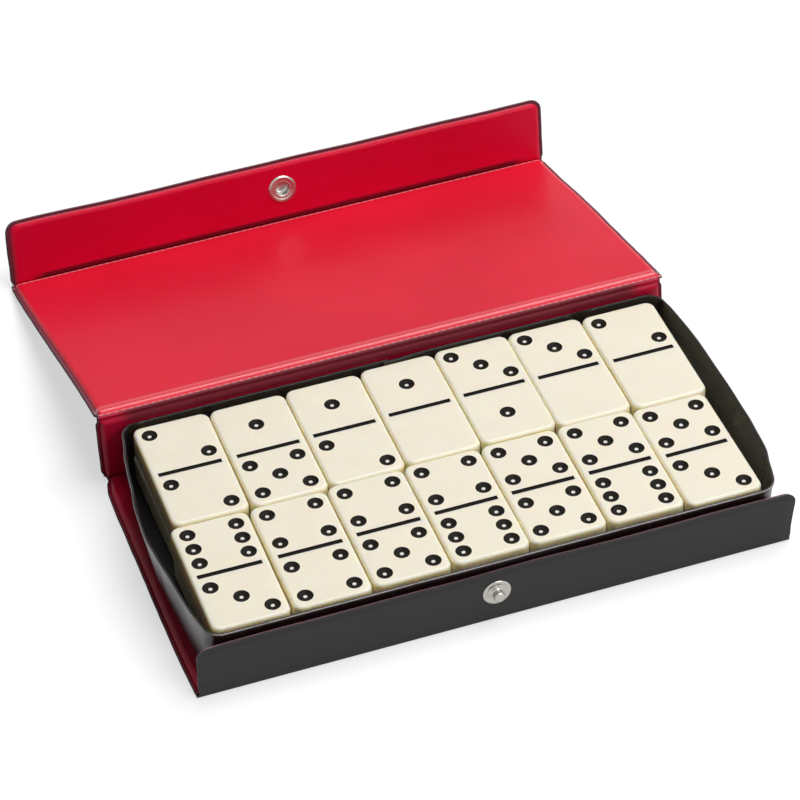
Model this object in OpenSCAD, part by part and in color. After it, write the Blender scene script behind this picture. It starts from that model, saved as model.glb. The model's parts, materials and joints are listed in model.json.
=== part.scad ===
// Folding vinyl case for a double-six set of dominoes, shown open.
// +X runs along the case, +Y to the back, +Z up. The origin is the middle of
// the base panel's underside, on the table.

/* [Dominoes] */
// Width of a domino
domino_w = 25; // [22:0.5:26]
// Length of a domino
domino_l = 47.7; // [44:0.1:52]
// Thickness of a domino
domino_t = 9.5; // [8:0.1:11]
// Radius of a domino's four upright corners
domino_r = 3; // [1.5:0.1:4]
// Radius along a domino's top and bottom edges
domino_edge = 1.1; // [0.4:0.1:2]
// Gap between neighbouring dominoes
domino_gap = 0.4; // [0.3:0.05:1]
// Diameter of a pip
pip_d = 4.8; // [3:0.1:5.4]
// Depth of a pip at its middle
pip_depth = 0.9; // [0.4:0.1:1.5]
// Sideways distance from a half's middle to its outer pips
pip_x = 7.8; // [6:0.1:8.2]
// Lengthwise distance from a half's middle to its outer pips
pip_y = 6.6; // [5.5:0.1:7.2]
// Distance from the dividing bar to a half's middle
half_y = 12.3; // [11:0.1:13]
// Length of the dividing bar
bar_l = 19.6; // [14:0.1:21]
// Width of the dividing bar
bar_w = 1.3; // [0.8:0.1:2]
// Depth of the dividing bar
bar_depth = 0.5; // [0.3:0.1:1]
// Shift of the dominoes towards the right end of the tray
set_shift = 1.6; // [0:0.1:2]
// Shift of each of the two rows, the front one to the left
row_shift = 0.8; // [0:0.1:0.9]
// Most that a column of dominoes has slid to the front or back
column_slip = 0.3; // [0:0.1:0.6]

/* [Tray] */
// Thickness of the upright band
band_t = 0.8; // [0.6:0.1:1.2]
// Room between the rows of dominoes and the band, front and back
tray_room = 1.5; // [1.2:0.1:3]
// Room between a row's ends and the foot of the band
end_room = 3.6; // [3:0.1:6]
// How much further out the bowed ends stand at the rim than at the foot
end_flare = 3.5; // [0:0.1:5]
// Corner radius of the band at its foot
foot_r = 4; // [4:0.5:8]
// Corner radius of the band at its rim
rim_r = 5.5; // [5:0.5:12]
// Radius of the bowed ends at the rim
bow_r = 320; // [200:10:600]
// Height of the rim above the top dominoes
rim_up = 0.5; // [0.3:0.1:2]
// Length of the lapped seam at the back
lap = 5; // [4:0.5:12]
// Length over which the band's inner end eases out past the lap
lap_ease = 9; // [6:0.5:12]
// Thickness of the tray's floor
floor_t = 0.9; // [0.6:0.1:1.5]

/* [Wrap] */
// Width of the wrap along the case
wrap_w = 191.6; // [190:0.2:200]
// Thickness of the outer sheet
sheet_t = 0.5; // [0.4:0.05:0.7]
// Thickness of a stiffening board
board_t = 1.1; // [0.8:0.1:1.6]
// Thickness of the lining
lining_t = 0.4; // [0.3:0.05:0.6]
// Width of the welded edge round each board
weld_w = 2.2; // [1.5:0.1:3]
// Distance from a fold's axis to the panels beside it
fold_gap = 1; // [0.9:0.05:1.5]
// Radius of the bead along each fold
bead_r = 0.5; // [0.4:0.05:0.5]
// Clearance between a fold's bead and the panel that turns on it
bead_gap = 0.3; // [0.2:0.05:0.4]
// Corner radius where a panel meets a fold
fold_r = 1.5; // [1:0.1:3]
// Corner radius of the wrap's free corners
free_r = 4; // [2:0.5:8]
// Height of the front panel
front_h = 19.6; // [16:0.2:21]
// Height of the fold between the spine and the lid
spine_h = 26; // [25:0.2:30]
// Height of the lid's front fold with the case closed
closed_h = 24.1; // [23.8:0.1:25]
// Height of the flap from its fold
flap_h = 23.4; // [20:0.2:23.6]
// Gap between the closed flap and the front panel
flap_gap = 1.2; // [1:0.1:2]
// Clearance between the wrap and the tray
wrap_gap = 0.1; // [0.05:0.05:0.3]

/* [Snap] */
// Height of the stud above the table
stud_z = 11.1; // [9:0.1:12]
// Diameter of the stud's flange
stud_flange_d = 9.2; // [7:0.1:11]
// Thickness of the stud's flange
stud_flange_t = 0.4; // [0.3:0.05:0.5]
// Diameter of the stud's neck
stud_neck_d = 3.1; // [2.4:0.1:3.4]
// Diameter of the stud's head
stud_head_d = 3.7; // [3:0.1:4]
// Reach of the stud from the front panel
stud_reach = 3.2; // [2.5:0.1:3.4]
// Diameter of the rivet that holds the stud
rivet_d = 2.4; // [2:0.1:2.8]
// Diameter of the socket's ring
socket_d = 9.9; // [8:0.1:12]
// Diameter of the socket's hole
socket_bore = 4.5; // [4.3:0.1:5]
// Wall of the socket's barrel
barrel_wall = 0.7; // [0.5:0.1:1]
// How far the socket's ring stands out of the flap's lining
socket_up = 0.5; // [0.3:0.05:0.5]
// Diameter of the cap on the flap's outside
cap_d = 10.6; // [9:0.1:13]
// Height of the cap
cap_h = 1.5; // [1.2:0.1:2]
// Wall of the cap
cap_wall = 0.35; // [0.3:0.05:0.5]
// Thickness of the washer inside the tray
washer_t = 0.4; // [0.3:0.05:0.5]

/* [Hidden] */
$fn = 48;
// clearance round what seats in another piece, and how far a cutter runs past a face
fit = 0.1;
through = 2;
// how far the bowed foot of the band draws in at its corners
bow_in = 1;
// thickness of the web that carries a fold's bead, and of the tongue beside it
web_t = 0.4;
tongue_t = 0.25;
// how far the rivet's tail stands past the washer
rivet_tail = 0.5;
// steps along each arc of the band, and the most pips on half a domino
sweep_steps = 12;
highest = 6;

domino_px = domino_w + domino_gap;
domino_py = domino_l + domino_gap;
set_half_l = (highest + 1) / 2 * domino_px - domino_gap / 2;
set_half_w = domino_py - domino_gap / 2;

// how far each column lies from the middle, as a share of column_slip
slips = [-0.8, -1, 0, 0.9, 1, 0.6, -1];

// the face-up layer, left to right, as [back half, front half]
front_row = [[6, 3], [4, 4], [4, 5], [4, 6], [5, 5], [5, 6], [5, 3]];
back_row = [[2, 2], [1, 5], [1, 2], [1, 0], [3, 1], [3, 0], [2, 0]];
// the rest of the set, beneath them
under_front = [[0, 0], [0, 4], [0, 5], [0, 6], [1, 1], [1, 4], [1, 6]];
under_back = [[2, 3], [2, 4], [2, 5], [2, 6], [3, 3], [3, 4], [6, 6]];

panel_t = sheet_t + board_t + lining_t;
axis_up = sheet_t + 0.05;
floor_z = panel_t + floor_t;
domino_top = floor_z + 2 * domino_t;
rim_z = domino_top + rim_up;

band_in_y = set_half_w + tray_room;
band_out_y = band_in_y + band_t;
lap_in = band_t + fit / 2;
foot_x = set_half_l + end_room + band_t;
rim_x = foot_x + end_flare;

front_in_y = -band_out_y - wrap_gap;
front_y = front_in_y - panel_t;
back_axis_y = band_out_y + 2 * wrap_gap + panel_t - axis_up;
front_axis_y = front_y + axis_up;

// the lid, from the axis of its spine fold to the axis of its flap fold
flap_in = back_axis_y - front_y + flap_gap;
lid_l = flap_in + panel_t - axis_up;
rest_axis_z = axis_up;
rest_slope = asin((spine_h - rest_axis_z) / lid_l);
closed_slope = asin((spine_h - closed_h) / lid_l);
flap_angle = 90 - closed_slope;
socket_at = closed_h - stud_z;
barrel_d = socket_bore + 2 * barrel_wall;

// each panel's depth from edge to edge
base_d = back_axis_y - front_axis_y - 2 * fold_gap;
front_d = front_h - axis_up - fold_gap;
spine_d = spine_h - axis_up - 2 * fold_gap;
lid_d = lid_l - 2 * fold_gap;
flap_d = flap_h - fold_gap;

function domino_name(d) = str("domino_", min(d[0], d[1]), "_", max(d[0], d[1]));

// where each domino lies: its halves, column, row and layer
places = concat(
    [for (c = [0:highest]) [front_row[c], c, 0, 1]],
    [for (c = [0:highest]) [back_row[c], c, 1, 1]],
    [for (c = [0:highest]) [under_front[c], c, 0, 0]],
    [for (c = [0:highest]) [under_back[c], c, 1, 0]]);

function place_x(p) = set_shift + (p[1] - highest / 2) * domino_px + (p[2] == 0 ? -row_shift : row_shift);
function place_y(p) = (p[2] - 0.5) * domino_py + slips[p[1]] * column_slip;

// the middles of the pips on one half, in shares of pip_x and pip_y
function pips(n) =
    n == 1 ? [[0, 0]] :
    n == 2 ? [[-1, 1], [1, -1]] :
    n == 3 ? concat(pips(2), pips(1)) :
    n == 4 ? [[-1, 1], [1, 1], [-1, -1], [1, -1]] :
    n == 5 ? concat(pips(4), pips(1)) :
    n == 6 ? concat(pips(4), [[-1, 0], [1, 0]]) : [];

module bar_with_round_corners(a, b, h, r) {
    linear_extrude(h, center = true) {
        square([a - 2 * r, b], center = true);
        square([a, b - 2 * r], center = true);
        for (s = [-1, 1], t = [-1, 1])
            translate([s * (a / 2 - r), t * (b / 2 - r)]) circle(r);
    }
}

module domino_body() {
    intersection() {
        bar_with_round_corners(domino_w, domino_l, 2 * domino_t, domino_r);
        rotate([90, 0, 0]) bar_with_round_corners(domino_w, domino_t, 2 * domino_l, domino_edge);
        rotate([90, 0, 90]) bar_with_round_corners(domino_l, domino_t, 2 * domino_w, domino_edge);
    }
}

// a pip is cut by a sphere that leaves a dish of the given width and depth
module pip_cutter() {
    r = (pip_d * pip_d / 4 + pip_depth * pip_depth) / (2 * pip_depth);
    translate([0, 0, domino_t / 2 + r - pip_depth]) sphere(r);
}

module domino(p) {
    color("ivory")
    translate([place_x(p), place_y(p), floor_z + (p[3] + 0.5) * domino_t])
    difference() {
        domino_body();
        translate([-bar_l / 2, -bar_w / 2, domino_t / 2 - bar_depth]) cube([bar_l, bar_w, domino_t]);
        for (half = [0, 1])
            for (q = pips(p[0][half]))
                translate([q[0] * pip_x, (half == 0 ? half_y : -half_y) + q[1] * pip_y, 0]) pip_cutter();
    }
}

// a panel's outline: y runs from one edge, with corner radius ra, to the other, with rb
module leaf(w, d, ra, rb) {
    polygon([[-w / 2 + ra, 0], [w / 2 - ra, 0], [w / 2, ra], [w / 2, d - rb],
             [w / 2 - rb, d], [-w / 2 + rb, d], [-w / 2, d - rb], [-w / 2, ra]]);
    for (s = [-1, 1]) {
        translate([s * (w / 2 - ra), ra]) circle(ra);
        translate([s * (w / 2 - rb), d - rb]) circle(rb);
    }
}

module inset_leaf(d, inset) {
    translate([0, inset]) leaf(wrap_w - 2 * inset, d - 2 * inset, fold_r, fold_r);
}

module sheet(d, ra, rb) {
    linear_extrude(sheet_t) leaf(wrap_w, d, ra, rb);
}

module board(d) {
    translate([0, 0, sheet_t]) linear_extrude(board_t) inset_leaf(d, weld_w + lining_t + fit);
}

// the lining is welded to the sheet all round and stands up over the board
module lining(d, ra, rb) {
    translate([0, 0, sheet_t]) difference() {
        union() {
            linear_extrude(lining_t) leaf(wrap_w, d, ra, rb);
            linear_extrude(board_t + lining_t) inset_leaf(d, weld_w);
        }
        translate([0, 0, -through / 2]) linear_extrude(board_t + through / 2)
            inset_leaf(d, weld_w + lining_t);
    }
}

// the bead of a fold lies on the axis, fold_gap past the sheet's edge, on a thin web
module fold_bead() {
    bead_l = wrap_w - 2 * (fold_r + fold_gap);
    translate([-bead_l / 2, -fit, sheet_t - web_t]) cube([bead_l, fold_gap + fit, web_t]);
    translate([-bead_l / 2, fold_gap, axis_up]) rotate([0, 90, 0]) cylinder(r = bead_r, h = bead_l);
}

// the turning panel has a thin tongue that ends just short of the bead
module fold_tongue() {
    tongue_l = wrap_w - 2 * (fold_r + fold_gap);
    reach = fold_gap - bead_r - bead_gap;
    translate([-tongue_l / 2, -reach, sheet_t - tongue_t]) cube([tongue_l, reach + fit, tongue_t]);
}

module on_base() {
    translate([0, front_axis_y + fold_gap, 0]) children();
}

// upright at the front, its lining against the tray
module on_front() {
    translate([0, front_y, axis_up + fold_gap]) rotate([90, 0, 180]) mirror([1, 0, 0])
        children();
}

// upright at the back, its lining against the tray
module on_spine() {
    translate([0, back_axis_y + axis_up, axis_up + fold_gap]) rotate([90, 0, 0]) children();
}

// slopes from the top of the spine down to the table behind
module on_lid() {
    translate([0, back_axis_y, spine_h]) rotate([-rest_slope, 0, 0])
        translate([0, fold_gap, -axis_up]) children();
}

// stands up from the lid's far edge, its lining towards the lid
module on_flap() {
    translate([0, back_axis_y, spine_h]) rotate([-rest_slope, 0, 0])
        translate([0, lid_l, 0]) rotate([flap_angle, 0, 0])
        translate([0, fold_gap, -axis_up]) children();
}

module base_sheet() {
    color("#2b2a2b") on_base() {
        sheet(base_d, fold_r, fold_r);
        translate([0, base_d, 0]) fold_bead();
        mirror([0, 1, 0]) fold_bead();
    }
}
module base_board() { color("#b9a78a") on_base() board(base_d); }
module base_lining() { color("#c8102e") on_base() lining(base_d, fold_r, fold_r); }

// the hole that the rivet passes through, in the front panel's own plane
module rivet_hole(d) {
    translate([0, stud_z - axis_up - fold_gap, -through / 2])
        cylinder(d = d, h = panel_t + through);
}

module front_sheet() {
    color("#2f2d2c") on_front() difference() {
        union() {
            sheet(front_d, fold_r, free_r);
            fold_tongue();
        }
        rivet_hole(rivet_d + 2 * fit);
    }
}
module front_board() {
    color("#b9a78a") on_front() difference() {
        board(front_d);
        rivet_hole(rivet_d + 2 * fit);
    }
}
module front_lining() {
    color("#c8102e") on_front() difference() {
        lining(front_d, fold_r, free_r);
        rivet_hole(rivet_d + 2 * fit);
    }
}

module spine_sheet() {
    color("#2b2a2b") on_spine() {
        sheet(spine_d, fold_r, fold_r);
        fold_tongue();
        translate([0, spine_d, 0]) fold_bead();
    }
}
module spine_board() { color("#b9a78a") on_spine() board(spine_d); }
module spine_lining() { color("#a50f2a") on_spine() lining(spine_d, fold_r, fold_r); }

module lid_sheet() {
    color("#2b2a2b") on_lid() {
        sheet(lid_d, fold_r, fold_r);
        fold_tongue();
        translate([0, lid_d, 0]) fold_bead();
    }
}
module lid_board() { color("#b9a78a") on_lid() board(lid_d); }
module lid_lining() { color("#dc2038") on_lid() lining(lid_d, fold_r, fold_r); }

// the hole for the socket's barrel, in the flap's own plane
module barrel_hole() {
    translate([0, socket_at - fold_gap, -through / 2])
        cylinder(d = barrel_d + 2 * fit, h = panel_t + through);
}

module flap_sheet() {
    color("#2b2a2b") on_flap() difference() {
        union() {
            sheet(flap_d, fold_r, free_r);
            fold_tongue();
        }
        barrel_hole();
    }
}
module flap_board() {
    color("#b9a78a") on_flap() difference() {
        board(flap_d);
        barrel_hole();
    }
}
module flap_lining() {
    color("#b80f28") on_flap() difference() {
        lining(flap_d, fold_r, free_r);
        barrel_hole();
    }
}

// One quarter of the band's middle line, from the straight wall at the back to the
// middle of the end: a corner arc, then the bowed end, tangent to each other.
function quarter(x, y, corner, bow) =
    let (b = asin((y - corner) / (bow - corner)),
         cx = x - bow + (bow - corner) * cos(b))
    concat(
        [for (i = [0:sweep_steps]) let (a = 90 - (90 - b) * i / sweep_steps)
            [cx + corner * cos(a), y - corner + corner * sin(a)]],
        [for (i = [1:sweep_steps]) let (a = b * (1 - i / sweep_steps))
            [x - bow + bow * cos(a), bow * sin(a)]]);

function reversed(v) = [for (i = [len(v) - 1:-1:0]) v[i]];
function flip_x(v) = [for (p = v) [-p[0], p[1]]];
function flip_y(v) = [for (p = v) [p[0], -p[1]]];

// The whole middle line, clockwise from the lap at the back. The end that starts
// inside the lap eases out to the wall's line past it.
function line(x, corner, bow) =
    let (y = band_in_y + band_t / 2,
         q = quarter(x, y, corner, bow),
         body = concat(q, [for (i = [1:len(q) - 1]) flip_y(reversed(q))[i]]))
    concat(
        [[-lap / 2, y - lap_in], [lap / 2, y - lap_in],
         [lap / 2 + lap_ease / 3, y - lap_in * 0.75],
         [lap / 2 + lap_ease * 2 / 3, y - lap_in * 0.25], [lap / 2 + lap_ease, y]],
        body, reversed(flip_x(body)), [[lap / 2, y]]);

foot_line = line(foot_x - band_t / 2, foot_r, 3 * bow_r);
rim_line = line(rim_x - band_t / 2, rim_r, bow_r);

function unit(v) = v / norm(v);
function along(v, i) = unit(v[min(i + 1, len(v) - 1)] - v[max(i - 1, 0)]);
function beside(v, i, d) = let (t = along(v, i)) v[i] + d * [-t[1], t[0]];

// a strip of even thickness that stands on one line and ends at the other
module upright_strip(low, high, z0, z1, t) {
    n = len(low);
    ring = function (i) [
        concat(beside(low, i, t / 2), z0), concat(beside(low, i, -t / 2), z0),
        concat(beside(high, i, -t / 2), z1), concat(beside(high, i, t / 2), z1)];
    points = [for (i = [0:n - 1]) for (p = ring(i)) p];
    sides = [for (i = [0:n - 2]) for (k = [0:3])
        let (a = 4 * i + k, b = 4 * i + (k + 1) % 4)
        for (f = [[a, a + 4, b], [b, a + 4, b + 4]]) f];
    first = [[0, 1, 2], [0, 2, 3]];
    e = 4 * (n - 1);
    last = [[e, e + 2, e + 1], [e, e + 3, e + 2]];
    polyhedron(points, concat(sides, first, last));
}

module tray_band() {
    color("#1c1b1c") difference() {
        upright_strip(foot_line, rim_line, panel_t, rim_z, band_t);
        translate([0, -band_in_y + through, stud_z]) rotate([90, 0, 0])
            cylinder(d = rivet_d + 2 * fit, h = band_t + 2 * through);
    }
}

// a flat sheet that fills the foot of the band
module tray_floor() {
    reach_x = foot_x - band_t - fit - bow_in;
    reach_y = band_in_y - lap_in - fit;
    color("#1c1b1c") translate([0, -reach_y, panel_t])
        linear_extrude(floor_t) leaf(2 * reach_x, 2 * reach_y, foot_r, foot_r);
}

// The stud, turned about its own axis: a stepped flange, a neck and a rounded head
// in front, and a rivet that runs back through the panel and the tray.
module snap_stud() {
    head = stud_head_d / 2;
    neck = stud_neck_d / 2;
    flange = stud_flange_d / 2;
    rivet = rivet_d / 2;
    back = panel_t + wrap_gap + band_t + washer_t;
    color("silver") translate([0, front_y, stud_z]) rotate([90, 0, 0]) rotate_extrude()
        polygon([[0, -back - rivet_tail], [rivet * 0.7, -back - rivet_tail],
                 [rivet, -back - rivet_tail * 0.2],
                 [rivet, 0], [flange, 0], [flange, stud_flange_t * 0.5],
                 [flange * 0.94, stud_flange_t], [flange * 0.72, stud_flange_t],
                 [flange * 0.66, stud_flange_t * 0.6], [neck * 1.3, stud_flange_t * 0.6],
                 [neck, stud_flange_t * 1.8], [neck, stud_reach - head * 0.7],
                 [head, stud_reach - head * 0.5], [head, stud_reach - head * 0.32],
                 [head * 0.85, stud_reach - head * 0.1], [head * 0.5, stud_reach], [0, stud_reach]]);
}

module stud_washer() {
    color("silver") translate([0, -band_in_y, stud_z]) rotate([-90, 0, 0]) difference() {
        cylinder(d = stud_flange_d - 1.6, h = washer_t);
        translate([0, 0, -through / 2]) cylinder(d = rivet_d + 2 * fit, h = washer_t + through);
    }
}

// The socket, turned about its own axis: a rounded ring on the lining and a barrel
// through the flap, open from end to end.
module snap_socket() {
    ring = socket_d / 2;
    barrel = barrel_d / 2;
    bore = socket_bore / 2;
    top = panel_t + socket_up;
    color("silver") on_flap() translate([0, socket_at - fold_gap, 0]) rotate_extrude()
        polygon([[bore, 0], [barrel, 0], [barrel, panel_t], [ring, panel_t],
                 [ring, panel_t + socket_up * 0.4], [ring - 0.6, top],
                 [bore + 0.9, top], [bore, top - socket_up * 0.5]]);
}

// a low hollow dome over the barrel, on the flap's outside
module socket_cap() {
    r = cap_d / 2;
    color("silver") on_flap() translate([0, socket_at - fold_gap, 0]) rotate_extrude()
        polygon([[0, -cap_h], [r * 0.45, -cap_h * 0.92], [r * 0.8, -cap_h * 0.62],
                 [r - 0.15, -0.3], [r, 0], [barrel_d / 2 + 0.3, 0], [barrel_d / 2 + 0.1, -cap_wall],
                 [r * 0.4, -cap_h * 0.92 + cap_wall], [0, -cap_h + cap_wall]]);
}

base_sheet();
base_board();
base_lining();
front_sheet();
front_board();
front_lining();
spine_sheet();
spine_board();
spine_lining();
lid_sheet();
lid_board();
lid_lining();
flap_sheet();
flap_board();
flap_lining();
tray_band();
tray_floor();
snap_stud();
stud_washer();
snap_socket();
socket_cap();
for (p = places) domino(p);
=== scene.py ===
import json
import math

import bmesh
import bpy
from mathutils import Matrix, Vector, noise

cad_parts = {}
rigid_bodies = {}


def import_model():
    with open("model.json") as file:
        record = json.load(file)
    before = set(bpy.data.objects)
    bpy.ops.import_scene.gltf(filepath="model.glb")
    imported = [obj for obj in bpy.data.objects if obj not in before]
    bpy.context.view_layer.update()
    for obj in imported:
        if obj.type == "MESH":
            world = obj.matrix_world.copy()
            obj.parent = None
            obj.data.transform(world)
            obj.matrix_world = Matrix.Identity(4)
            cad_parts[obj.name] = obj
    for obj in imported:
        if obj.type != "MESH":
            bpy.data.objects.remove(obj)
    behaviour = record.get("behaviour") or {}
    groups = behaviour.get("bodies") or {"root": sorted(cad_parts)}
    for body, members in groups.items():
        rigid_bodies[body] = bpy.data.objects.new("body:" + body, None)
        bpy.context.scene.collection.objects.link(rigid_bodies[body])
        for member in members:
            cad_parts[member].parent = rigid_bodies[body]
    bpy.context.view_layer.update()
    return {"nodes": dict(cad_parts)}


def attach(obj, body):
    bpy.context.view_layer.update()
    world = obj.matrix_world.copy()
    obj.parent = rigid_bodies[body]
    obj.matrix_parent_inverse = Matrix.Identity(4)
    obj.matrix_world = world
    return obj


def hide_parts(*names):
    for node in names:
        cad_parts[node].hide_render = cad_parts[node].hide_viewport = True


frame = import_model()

mm = 0.001
print("case: frame loaded")


def leaveEdit():
    if bpy.context.mode != "OBJECT":
        bpy.ops.object.mode_set(mode="OBJECT")
    bpy.ops.object.select_all(action="DESELECT")


def pickOnly(obj):
    leaveEdit()
    obj.select_set(True)
    bpy.context.view_layer.objects.active = obj


def addPrimitive(adder, name, **settings):
    leaveEdit()
    adder(**settings)
    obj = bpy.context.object
    obj.name = obj.data.name = name
    return obj


def startEdit(obj, kind="EDGE"):
    pickOnly(obj)
    bpy.ops.object.mode_set(mode="EDIT")
    bpy.ops.mesh.select_mode(type=kind)


def flipFaces(obj):
    startEdit(obj, "FACE")
    bpy.ops.mesh.select_all(action="SELECT")
    bpy.ops.mesh.flip_normals()


def pickEdges(obj, test):
    startEdit(obj)
    mesh = bmesh.from_edit_mesh(obj.data)
    for part in list(mesh.faces) + list(mesh.edges) + list(mesh.verts):
        part.select = False
    for edge in mesh.edges:
        if test(edge):
            edge.select_set(True)
    bmesh.update_edit_mesh(obj.data)


def bevelEdges(obj, test, size, segments):
    pickEdges(obj, test)
    bpy.ops.mesh.bevel(offset=size * mm, segments=segments, affect="EDGES")
    bpy.ops.object.mode_set(mode="OBJECT")


def modify(obj, kind, **settings):
    pickOnly(obj)
    change = obj.modifiers.new(kind.title(), kind)
    for key, value in settings.items():
        setattr(change, key, value)
    bpy.ops.object.modifier_apply(modifier=change.name)


def settle(obj):  # the object back at the origin, its place in its mesh
    pickOnly(obj)
    bpy.ops.object.transform_apply(location=True, rotation=True, scale=True)


def smooth(obj, angle):
    pickOnly(obj)
    bpy.ops.object.shade_smooth_by_angle(angle=math.radians(angle))


def dress(obj, *materials):
    obj.data.materials.clear()
    for material in materials:
        obj.data.materials.append(material)


def copyOf(obj, name):
    twin = obj.copy()
    twin.data = obj.data.copy()
    twin.name = twin.data.name = name
    bpy.context.scene.collection.objects.link(twin)
    return twin


def clamp(x, low=0, high=1):
    return min(max(x, low), high)


def fade(a, b, x):
    t = clamp((x - a) / (b - a))
    return t * t * (3 - 2 * t)


def fromTable(table, x):  # eased between the rows of a table of (place, value)
    if x <= table[0][0]:
        return table[0][1]
    for (xa, a), (xb, b) in zip(table, table[1:]):
        if x <= xb:
            return a + (b - a) * fade(xa, xb, x)
    return table[-1][1]


# shader nodes, and the groups that several finishes share

def plug(tree, socket, value):  # links a socket, types in anything else
    if isinstance(value, bpy.types.NodeSocket):
        tree.links.new(value, socket)
    else:
        socket.default_value = value


def addNode(tree, kind, settings=None, **values):
    made = tree.nodes.new(kind)
    for key, value in (settings or {}).items():
        setattr(made, key, value)
    for key, value in values.items():
        plug(tree, made.inputs[key.replace("_", " ")], value)
    return made


def mathNode(tree, kind, a, b=0):
    made = addNode(tree, "ShaderNodeMath", dict(operation=kind))
    plug(tree, made.inputs[0], a)
    plug(tree, made.inputs[1], b)
    return made.outputs[0]


def mapRange(tree, source, low, high, to=(0, 1), ease="SMOOTHSTEP"):
    made = addNode(tree, "ShaderNodeMapRange", dict(interpolation_type=ease), Value=source,
                   From_Min=low, From_Max=high, To_Min=to[0], To_Max=to[1])
    return made.outputs["Result"]


def mixColour(tree, share, a, b):
    made = addNode(tree, "ShaderNodeMix", dict(data_type="RGBA"))
    for slot, value in ((0, share), (6, a), (7, b)):
        plug(tree, made.inputs[slot], (*value, 1) if isinstance(value, tuple) else value)
    return made.outputs[2]


def newGroup(name, inputs, outputs):
    tree = bpy.data.node_groups.new(name, "ShaderNodeTree")
    for label, value in inputs.items():
        kind = "NodeSocketFloat" if isinstance(value, float) else "NodeSocketVector"
        socket = tree.interface.new_socket(name=label, in_out="INPUT", socket_type=kind)
        socket.default_value = value
    for label in outputs:
        tree.interface.new_socket(name=label, in_out="OUTPUT", socket_type="NodeSocketFloat")
    return tree, tree.nodes.new("NodeGroupInput").outputs, tree.nodes.new("NodeGroupOutput").inputs


def buildSkinGroup():  # fine grain over slow waves, for sheet vinyl and painted faces
    tree, given, made = newGroup(
        "vinylSkin", {"Vector": (0, 0, 0), "Grain Scale": 900.0, "Grain": 0.1,
                      "Wave Scale": 30.0, "Wave": 1.0}, ("Height", "Mottle"))
    grain = addNode(tree, "ShaderNodeTexNoise", Vector=given["Vector"],
                    Scale=given["Grain Scale"], Detail=3.0, Roughness=0.6)
    wave = addNode(tree, "ShaderNodeTexNoise", Vector=given["Vector"],
                   Scale=given["Wave Scale"], Detail=1.5, Roughness=0.4)
    fine = mathNode(tree, "MULTIPLY", grain.outputs["Fac"], given["Grain"])
    slow = mathNode(tree, "MULTIPLY", wave.outputs["Fac"], given["Wave"])
    plug(tree, made["Height"], mathNode(tree, "ADD", fine, slow))
    plug(tree, made["Mottle"], wave.outputs["Fac"])
    return tree


def buildRubGroup():  # faint rubbed patches, drawn out along one way by Stretch
    tree, given, made = newGroup(
        "rubMarks", {"Vector": (0, 0, 0), "Stretch": (1, 1, 1), "Scale": 60.0, "Least": 0.55,
                     "Most": 0.75}, ("Mask",))
    stretched = addNode(tree, "ShaderNodeVectorMath", dict(operation="MULTIPLY"))
    plug(tree, stretched.inputs[0], given["Vector"])
    plug(tree, stretched.inputs[1], given["Stretch"])
    cloud = addNode(tree, "ShaderNodeTexNoise", Vector=stretched.outputs[0],
                    Scale=given["Scale"], Detail=4.0, Roughness=0.65)
    plug(tree, made["Mask"],
         mapRange(tree, cloud.outputs["Fac"], given["Least"], given["Most"]))
    return tree


skinGroup = buildSkinGroup()
rubGroup = buildRubGroup()


class Finish:  # a material under way: its shader, its tree and the object's own coordinates
    def __init__(self, name, **sockets):
        self.material = bpy.data.materials.new(name)
        self.material.use_nodes = True
        self.tree = self.material.node_tree
        self.shader = self.tree.nodes["Principled BSDF"]
        self.place = self.tree.nodes.new("ShaderNodeTexCoord")
        for key, value in sockets.items():
            self.shader.inputs[key.replace("_", " ")].default_value = value

    def fromGroup(self, group, values):
        made = addNode(self.tree, "ShaderNodeGroup", dict(node_tree=group),
                       Vector=self.place.outputs["Object"], **values)
        return made.outputs

    def skin(self, depth, **values):
        made = self.fromGroup(skinGroup, values)
        bump = addNode(self.tree, "ShaderNodeBump", Strength=1.0, Distance=depth,
                       Height=made["Height"])
        self.feed("Normal", bump.outputs["Normal"])
        return made["Mottle"]

    def attribute(self, name):
        made = addNode(self.tree, "ShaderNodeAttribute", dict(attribute_name=name))
        return made.outputs["Fac"]

    def feed(self, socket, source):
        self.tree.links.new(source, self.shader.inputs[socket])


# how every lining changes over its face, in mm: painted shade darkens it near a fold, it is flat
# and pale at the welds, and the lid's has a broken seam and a shine on its ridge
liningLook = dict(foldShade=(1.7, 2.8), foldShadeShare=0.85, foldShadeColour=(0.085, 0.004, 0.012),
                  foldSides=(83, 90), pillow=(0.8, 1.3), weldRough=0.48, seamHalf=(0.2, 0.5),
                  seamColour=(0.80, 0.24, 0.27), dashRate=2.6, dashSoft=0.3, dashLeast=0.45,
                  coat=0.05, ridgeCoat=0.95, ridgeStart=(0.9, 1.6), ridgeStop=(3.2, 4.4))


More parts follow.
